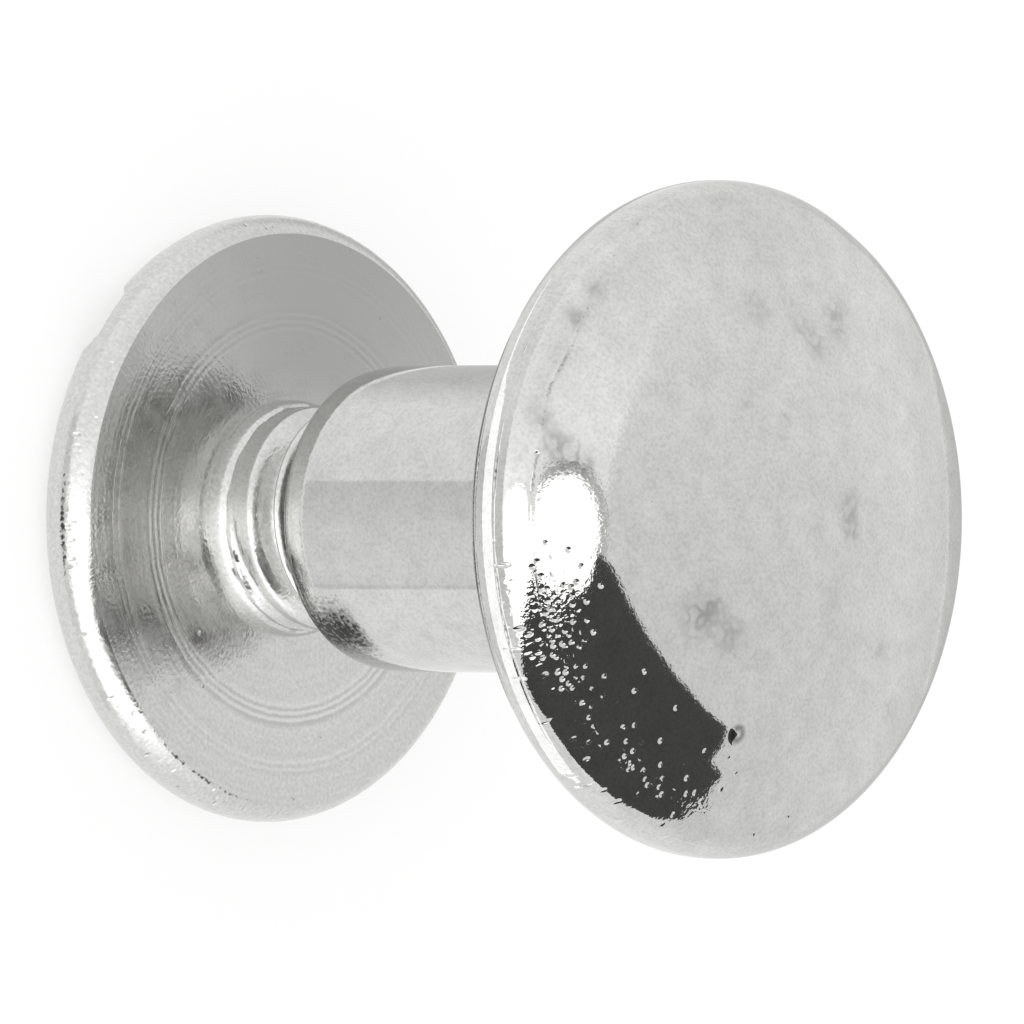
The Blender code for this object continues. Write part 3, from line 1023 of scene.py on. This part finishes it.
# %% Black flag
DARK_OUTLINE = [
    (597, 552), (612, 566), (628, 600), (650, 640), (676, 676), (704, 708), (727, 728),
    (724, 742), (716, 754), (711, 761), (719, 771), (723, 777), (713, 786), (708, 794),
    (700, 807), (688, 814), (674, 819), (653, 818), (635, 809), (617, 800), (596, 782),
    (578, 764), (560, 740), (546, 718), (532, 697), (524, 678), (521, 650), (523, 621),
    (528, 598), (532, 578), (538, 588), (542, 600), (549, 611), (558, 602), (565, 592),
    (571, 587), (577, 593), (583, 592), (589, 583), (593, 572),
]
FLAG_DISTANCE = 6.0


def over_head(points):
    """Distance of points from the domed head's upper surface, and the normal there.

    Within DOME_SLOPE of the axis that surface is the dome's sphere, and beyond it the rim's
    round, so the distance is |p - centre| - radius with the centre and radius of either.
    """
    x, y, z = points.T
    out = np.hypot(x, y)
    on_dome = np.arctan2(out, z - DOME_Z) < math.radians(DOME_SLOPE)
    across = out - np.where(on_dome, 0, RIM_R)
    above = z - np.where(on_dome, DOME_Z, RIM_Z)
    away = np.hypot(across, above)
    normal = np.stack([x / out * across, y / out * across, above], 1) / away[:, None]
    return away - np.where(on_dome, DOME_RADIUS, RIM_RADIUS), normal


def mirrored(pixels, distance, steps=120):
    """Points at a distance along d - 2 (d . n) n, the rays that the head sends back for pixels.

    Each sight line d walks to the head in steps as long as its distance from the surface.
    """
    sight = sight_lines(pixels)
    points = EYE + (CAMERA_DISTANCE - 2 * HEAD_RADIUS) * sight
    for _ in range(steps):
        gap, normal = over_head(points)
        points += gap[:, None] * sight
    return points + distance * (sight - 2 * (sight * normal).sum(1, keepdims=True) * normal)


flag = mirrored(DARK_OUTLINE, FLAG_DISTANCE)
print("flag from z", flag[:, 2].min().round(1), "to", flag[:, 2].max().round(1), "mm")
add_card("black_flag", flag, 0.075)

# %% [markdown]
# Beyond the barrel's ring the table is lit in front, dimmer past it, and grey behind, where
# the grey is painted shade. These sheets show in the rims and, by way of the domed head's
# underside, in the inner face of the slotted head. Their edges and shades are given for a
# few azimuths or radii each.

# %% Sheets over the table
SHEET_HEIGHT = 0.2
LIT_HEIGHT = 0.25
TABLE_END = ((-35, -5, 42, 60, 125), (12.9, 14, 20, 25, 25))
GAP_TONES = ((-35, 5, 30, 60, 80), (1.0, 0.98, 0.8, 0.78, 0.97))
GAP_END = 300
BACK_END = 600
BACK_SHADES = ((12, 20, 60, 600), (0.27, 0.42, 0.36, 0.25))

azimuths = np.linspace(-35, 125, 38)
table_start = RING_OUTER + 0 * azimuths
table_end = np.interp(azimuths, *TABLE_END)
gap_end = GAP_END + 0 * azimuths
gap_tone = np.tile(np.interp(azimuths, *GAP_TONES), (2, 1))
add_sheet("lit_table", *ring_sector(azimuths, [table_start, table_end], LIT_HEIGHT), 1.5)
add_sheet("dark_gap", *ring_sector(azimuths, [table_end, gap_end], SHEET_HEIGHT), gap_tone)

# The grey behind is painted shade on the floor behind the part, as the rims reflect it.
azimuths = np.linspace(-235, -50, 38)
radii = np.geomspace(RING_OUTER, BACK_END, 16)[:, None]
shade_depth = np.interp(np.log(radii), np.log(BACK_SHADES[0]), BACK_SHADES[1])
back_tone = 1.02 - shade_depth * bell(azimuths, -137, 42)
add_sheet("grey_back", *ring_sector(azimuths, radii + 0 * azimuths, SHEET_HEIGHT), back_tone)

# %% Finish
bpy.context.scene.view_settings.view_transform = "Standard"
